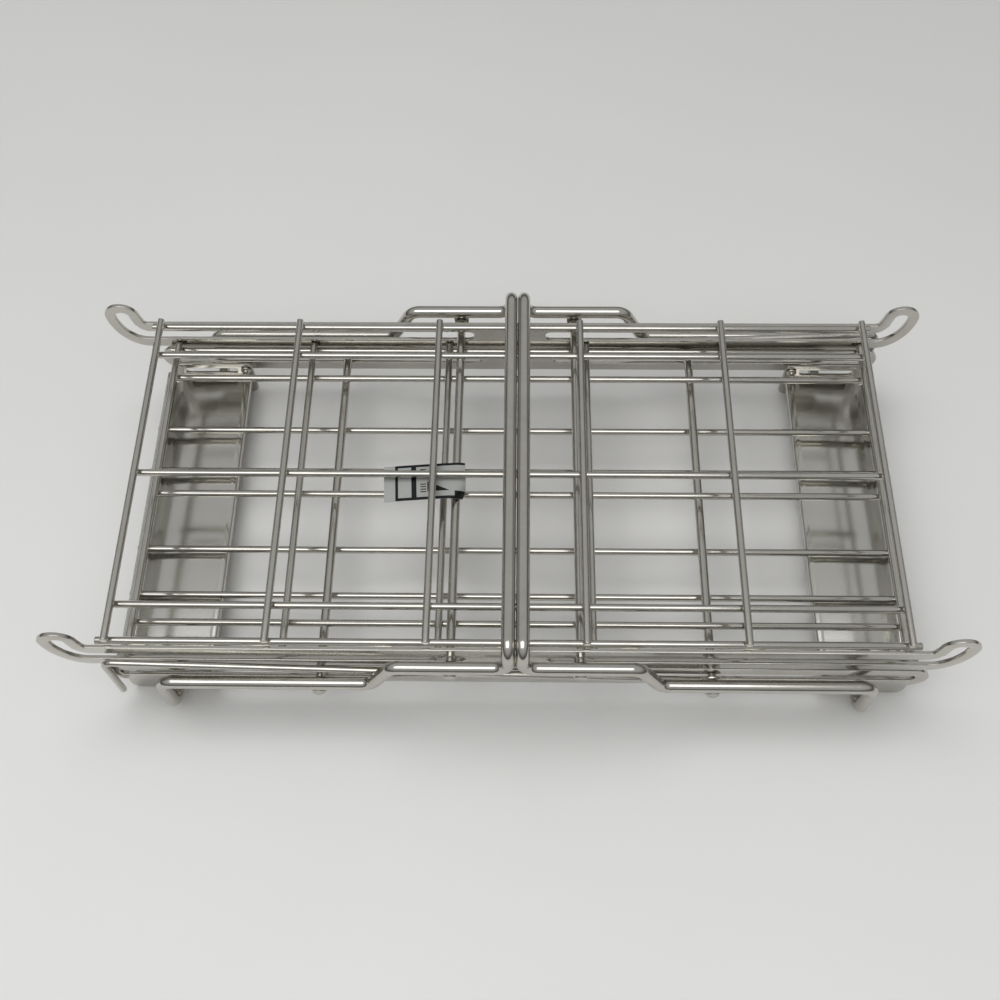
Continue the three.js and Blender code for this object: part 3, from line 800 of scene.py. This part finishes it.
# ---- label ------------------------------------------------------------------------------------------
def label():
    """Thin coated paper under the top tier's middle wire, with a curled front corner."""
    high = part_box("top_long_wire_middle")[0].z / MM - 0.3
    columns, rows = 84, 42
    corner_way = Vector((1, -1, 0)).normalized()
    droop_from = 0.88

    def surface(u, v):
        point = Vector(((u - 0.5) * LABEL_W, (v - 0.5) * LABEL_D, high - LABEL_SAG * (1 - u) ** 2))
        point.z -= LABEL_DROOP * (max(u - droop_from, 0) / (1 - droop_from)) ** 2
        point.z -= LABEL_CROWN * (2 * v - 1) ** 2
        past = ((u - 1) * LABEL_W - v * LABEL_D) / math.sqrt(2) + CURL_REACH
        if past > 0:
            turn = past / CURL_R
            point += corner_way * (CURL_R * math.sin(turn) - past)
            point.z -= CURL_R * (1 - math.cos(turn))
        return point

    turn = Matrix.Rotation(LABEL_TURN, 3, "Z")
    base = Vector((LABEL_X, LABEL_Y, 0))
    verts, coords = [], []
    for layer in (0.0, LABEL_T):
        for i in range(columns + 1):
            for j in range(rows + 1):
                u, v = i / columns, j / rows
                verts.append(base + turn @ (surface(u, v) - Vector((0, 0, layer))))
                coords.append((u, v))
    stride, layer = rows + 1, (columns + 1) * (rows + 1)
    faces = []
    for i in range(columns):
        for j in range(rows):
            a = i * stride + j
            quad = (a, a + stride, a + stride + 1, a + 1)
            faces += [quad, tuple(k + layer for k in reversed(quad))]
    rim = [i * stride for i in range(columns + 1)] + [columns * stride + j for j in range(1, rows + 1)]
    rim += [i * stride + rows for i in range(columns - 1, -1, -1)] + [j for j in range(rows - 1, 0, -1)]
    for a, b in zip(rim, rim[1:] + rim[:1]):
        faces.append((a, a + layer, b + layer, b))
    piece = place("label_paper", (verts, faces), label_material(), BODY_OF["label"], ["label"])
    uv = piece.data.uv_layers.new(name="print")
    for loop in piece.data.loops:
        uv.data[loop.index].uv = coords[loop.vertex_index]


# ---- stage ------------------------------------------------------------------------------------------
def stage():
    """A pale floor with painted shade that darkens it towards the back, where the light falls off, and a wall
    far round it.
    """
    make = Nodes("floor_paper")
    mottle = make.noise((3.0, 3.0, 3.0), detail=6.0, roughness=0.6)
    split = make.add("ShaderNodeSeparateXYZ")
    make.link(make.coordinates((1.0, 1.0, 1.0)), split.inputs["Vector"])
    # painted shade: the floor's colour darkens from front to back in place of the light's falloff, with a
    # random mottle on top
    depth = make.ranged(split.outputs["Y"], 0.0, 0.95, start=-0.30, end=0.55)
    shade = make.math("ADD", depth, make.ranged(mottle, -0.05, 0.05))
    make.link(make.mix(shade, FLOOR_LIT_NEAR, FLOOR_SHADED_FAR), make.shader.inputs["Base Color"])
    make.shader.inputs["Roughness"].default_value = 0.75
    make.shader.inputs["Specular IOR Level"].default_value = 0.2
    mesh = bpy.data.meshes.new("floor")
    corners = [(x * FLOOR_HALF, y * FLOOR_HALF, 0) for x, y in ((-1, -1), (1, -1), (1, 1), (-1, 1))]
    mesh.from_pydata(corners, [], [(0, 1, 2, 3)])
    mesh.materials.append(make.material)
    floor = bpy.data.objects.new("floor", mesh)
    floor.location.z = -0.0002
    bpy.context.scene.collection.objects.link(floor)
    paper_wall()


def paper_wall(sides=96):
    """A pale paper ring round the rack, which neither lights it nor shows in the steel."""
    angles = [2 * math.pi * k / sides for k in range(sides)]
    verts = [(WALL_R * math.cos(a), WALL_R * math.sin(a), z) for z in (0.0, WALL_H) for a in angles]
    faces = [(k, (k + 1) % sides, sides + (k + 1) % sides, sides + k) for k in range(sides)]
    make = Nodes("wall_paper")
    make.shader.inputs["Base Color"].default_value = (0.0, 0.0, 0.0, 1.0)
    make.shader.inputs["Specular IOR Level"].default_value = 0.0
    make.shader.inputs["Emission Color"].default_value = WALL_COLOUR
    make.shader.inputs["Emission Strength"].default_value = 1.0
    mesh = bpy.data.meshes.new("wall")
    mesh.from_pydata(verts, [], faces)
    mesh.materials.append(make.material)
    wall = bpy.data.objects.new("wall", mesh)
    wall.visible_diffuse = False
    wall.visible_glossy = False
    wall.visible_transmission = False
    wall.visible_shadow = False
    bpy.context.scene.collection.objects.link(wall)
    return wall


def soft_light(name, location, target, size_x, size_y, power):
    """A rectangular lamp that looks at target."""
    light = bpy.data.lights.new(name, "AREA")
    light.shape, light.energy = "RECTANGLE", power
    light.size, light.size_y = size_x, size_y
    lamp = bpy.data.objects.new(name, light)
    lamp.location = location
    lamp.rotation_euler = (Vector(target) - Vector(location)).to_track_quat("-Z", "Y").to_euler()
    bpy.context.scene.collection.objects.link(lamp)
    return lamp


def lights():
    """A soft overhead light and a sky that darkens towards the horizon, which gives the steel its edges."""
    world = bpy.data.worlds.new("room")
    bpy.context.scene.world = world
    world.use_nodes = True
    tree = world.node_tree
    source = tree.nodes.new("ShaderNodeTexCoord")
    split = tree.nodes.new("ShaderNodeSeparateXYZ")
    rise = tree.nodes.new("ShaderNodeMapRange")
    for socket, number in (("From Min", 0.08), ("From Max", 0.6), ("To Min", SKY_LOW), ("To Max", SKY_HIGH)):
        rise.inputs[socket].default_value = number
    tree.links.new(source.outputs["Generated"], split.inputs["Vector"])
    tree.links.new(split.outputs["Z"], rise.inputs["Value"])
    tree.links.new(rise.outputs["Result"], tree.nodes["Background"].inputs["Strength"])
    tree.nodes["Background"].inputs["Color"].default_value = SKY_COLOUR
    # seen in the metal only
    gleam = soft_light("gleam", (-0.35, -0.56, 2.0), (-0.35, -0.56, 0.0), 2.0, 1.15, 17.0)
    gleam.visible_diffuse = False
    # seen by the floor and the paper only; the second one throws the rack's soft shadow forward
    middle = (0.0, 0.0, 0.0)
    soft_light("ceiling", (-0.35, -0.35, 1.8), middle, 2.4, 1.6, 11.9).visible_glossy = False
    soft_light("lift", (-0.45, 0.55, 2.0), middle, 1.4, 0.8, 9.0).visible_glossy = False


def camera():
    """Looks down from in front, as the rack lies on a table before someone standing."""
    lens = bpy.data.cameras.new("camera")
    lens.sensor_width, lens.lens = 36.0, LENS_MM
    lens.clip_start, lens.clip_end = 0.01, 50.0
    eye = bpy.data.objects.new("camera", lens)
    right = Vector((1, 0, 0))
    up = Vector((0, math.sin(PITCH), math.cos(PITCH)))
    view = Matrix((right, up, right.cross(up))).transposed()
    spin = Matrix.Rotation(-YAW, 3, "Z")
    tilt = Matrix.Rotation(-ROLL, 3, "Z")
    eye.matrix_world = Matrix.Translation(EYE_AT) @ (spin @ view @ tilt).to_4x4()
    bpy.context.scene.collection.objects.link(eye)
    bpy.context.scene.camera = eye


tiers()
brackets()
side_frame(-1, "left")
side_frame(1, "right")
for axle_node in sorted(n for n in frame["nodes"] if "_axle_" in n):
    axle(axle_node)
stay("stay_front", 1)
stay("stay_back", -1)
label()
stage()
lights()
camera()
bpy.context.scene.view_settings.view_transform = "Standard"
